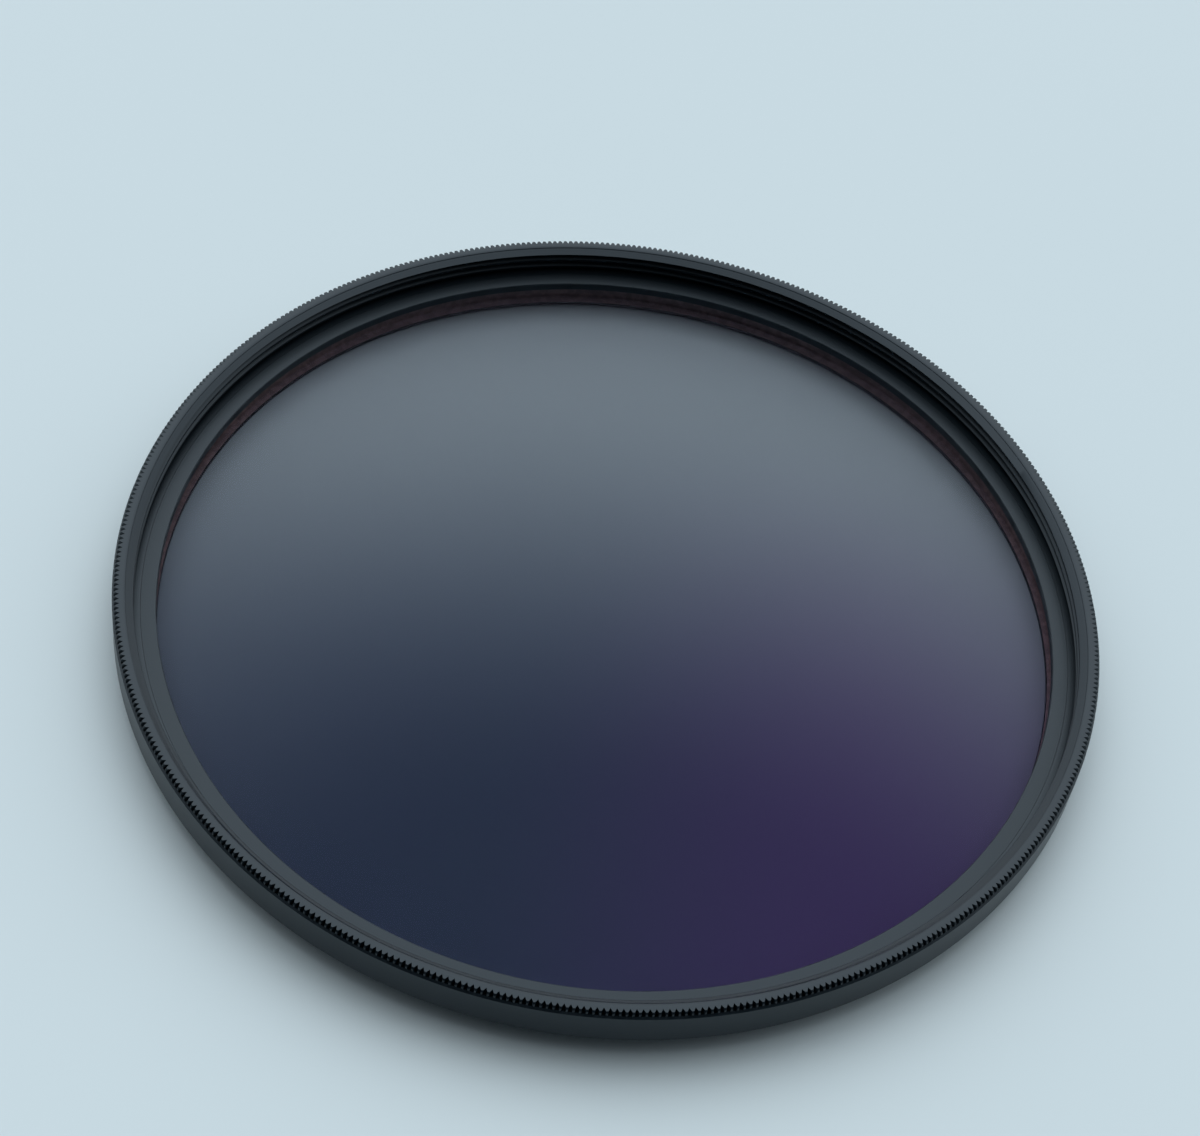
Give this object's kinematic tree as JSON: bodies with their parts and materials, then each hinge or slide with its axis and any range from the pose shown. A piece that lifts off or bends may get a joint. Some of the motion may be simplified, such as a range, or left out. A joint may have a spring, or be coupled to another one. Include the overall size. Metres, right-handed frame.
{
  "type": "mounted optical filter",
  "caption": "Round screw-in neutral density filter: grey coated glass disc in a thin threaded ring with a knurled front rim and a retaining ring.",
  "frame": {"origin": "centre of the rear end of the ring, on the plane the filter lies on", "axes": "+Z along the optical axis, out of the front (female thread) side; +Y away from the picture's viewer"},
  "size_m": [0.0794, 0.0794, 0.0054],
  "materials": {
    "anodised_ring": "black anodised, satin, fine turning marks",
    "grey_glass": "polished neutral grey glass, anti-reflection coated, violet residual reflection",
    "anodised_retainer": "black anodised, matte"
  },
  "bodies": {
    "root": {"mount_ring": "anodised_ring", "filter_glass": "grey_glass", "retaining_ring": "anodised_retainer"}
  },
  "joints": []
}
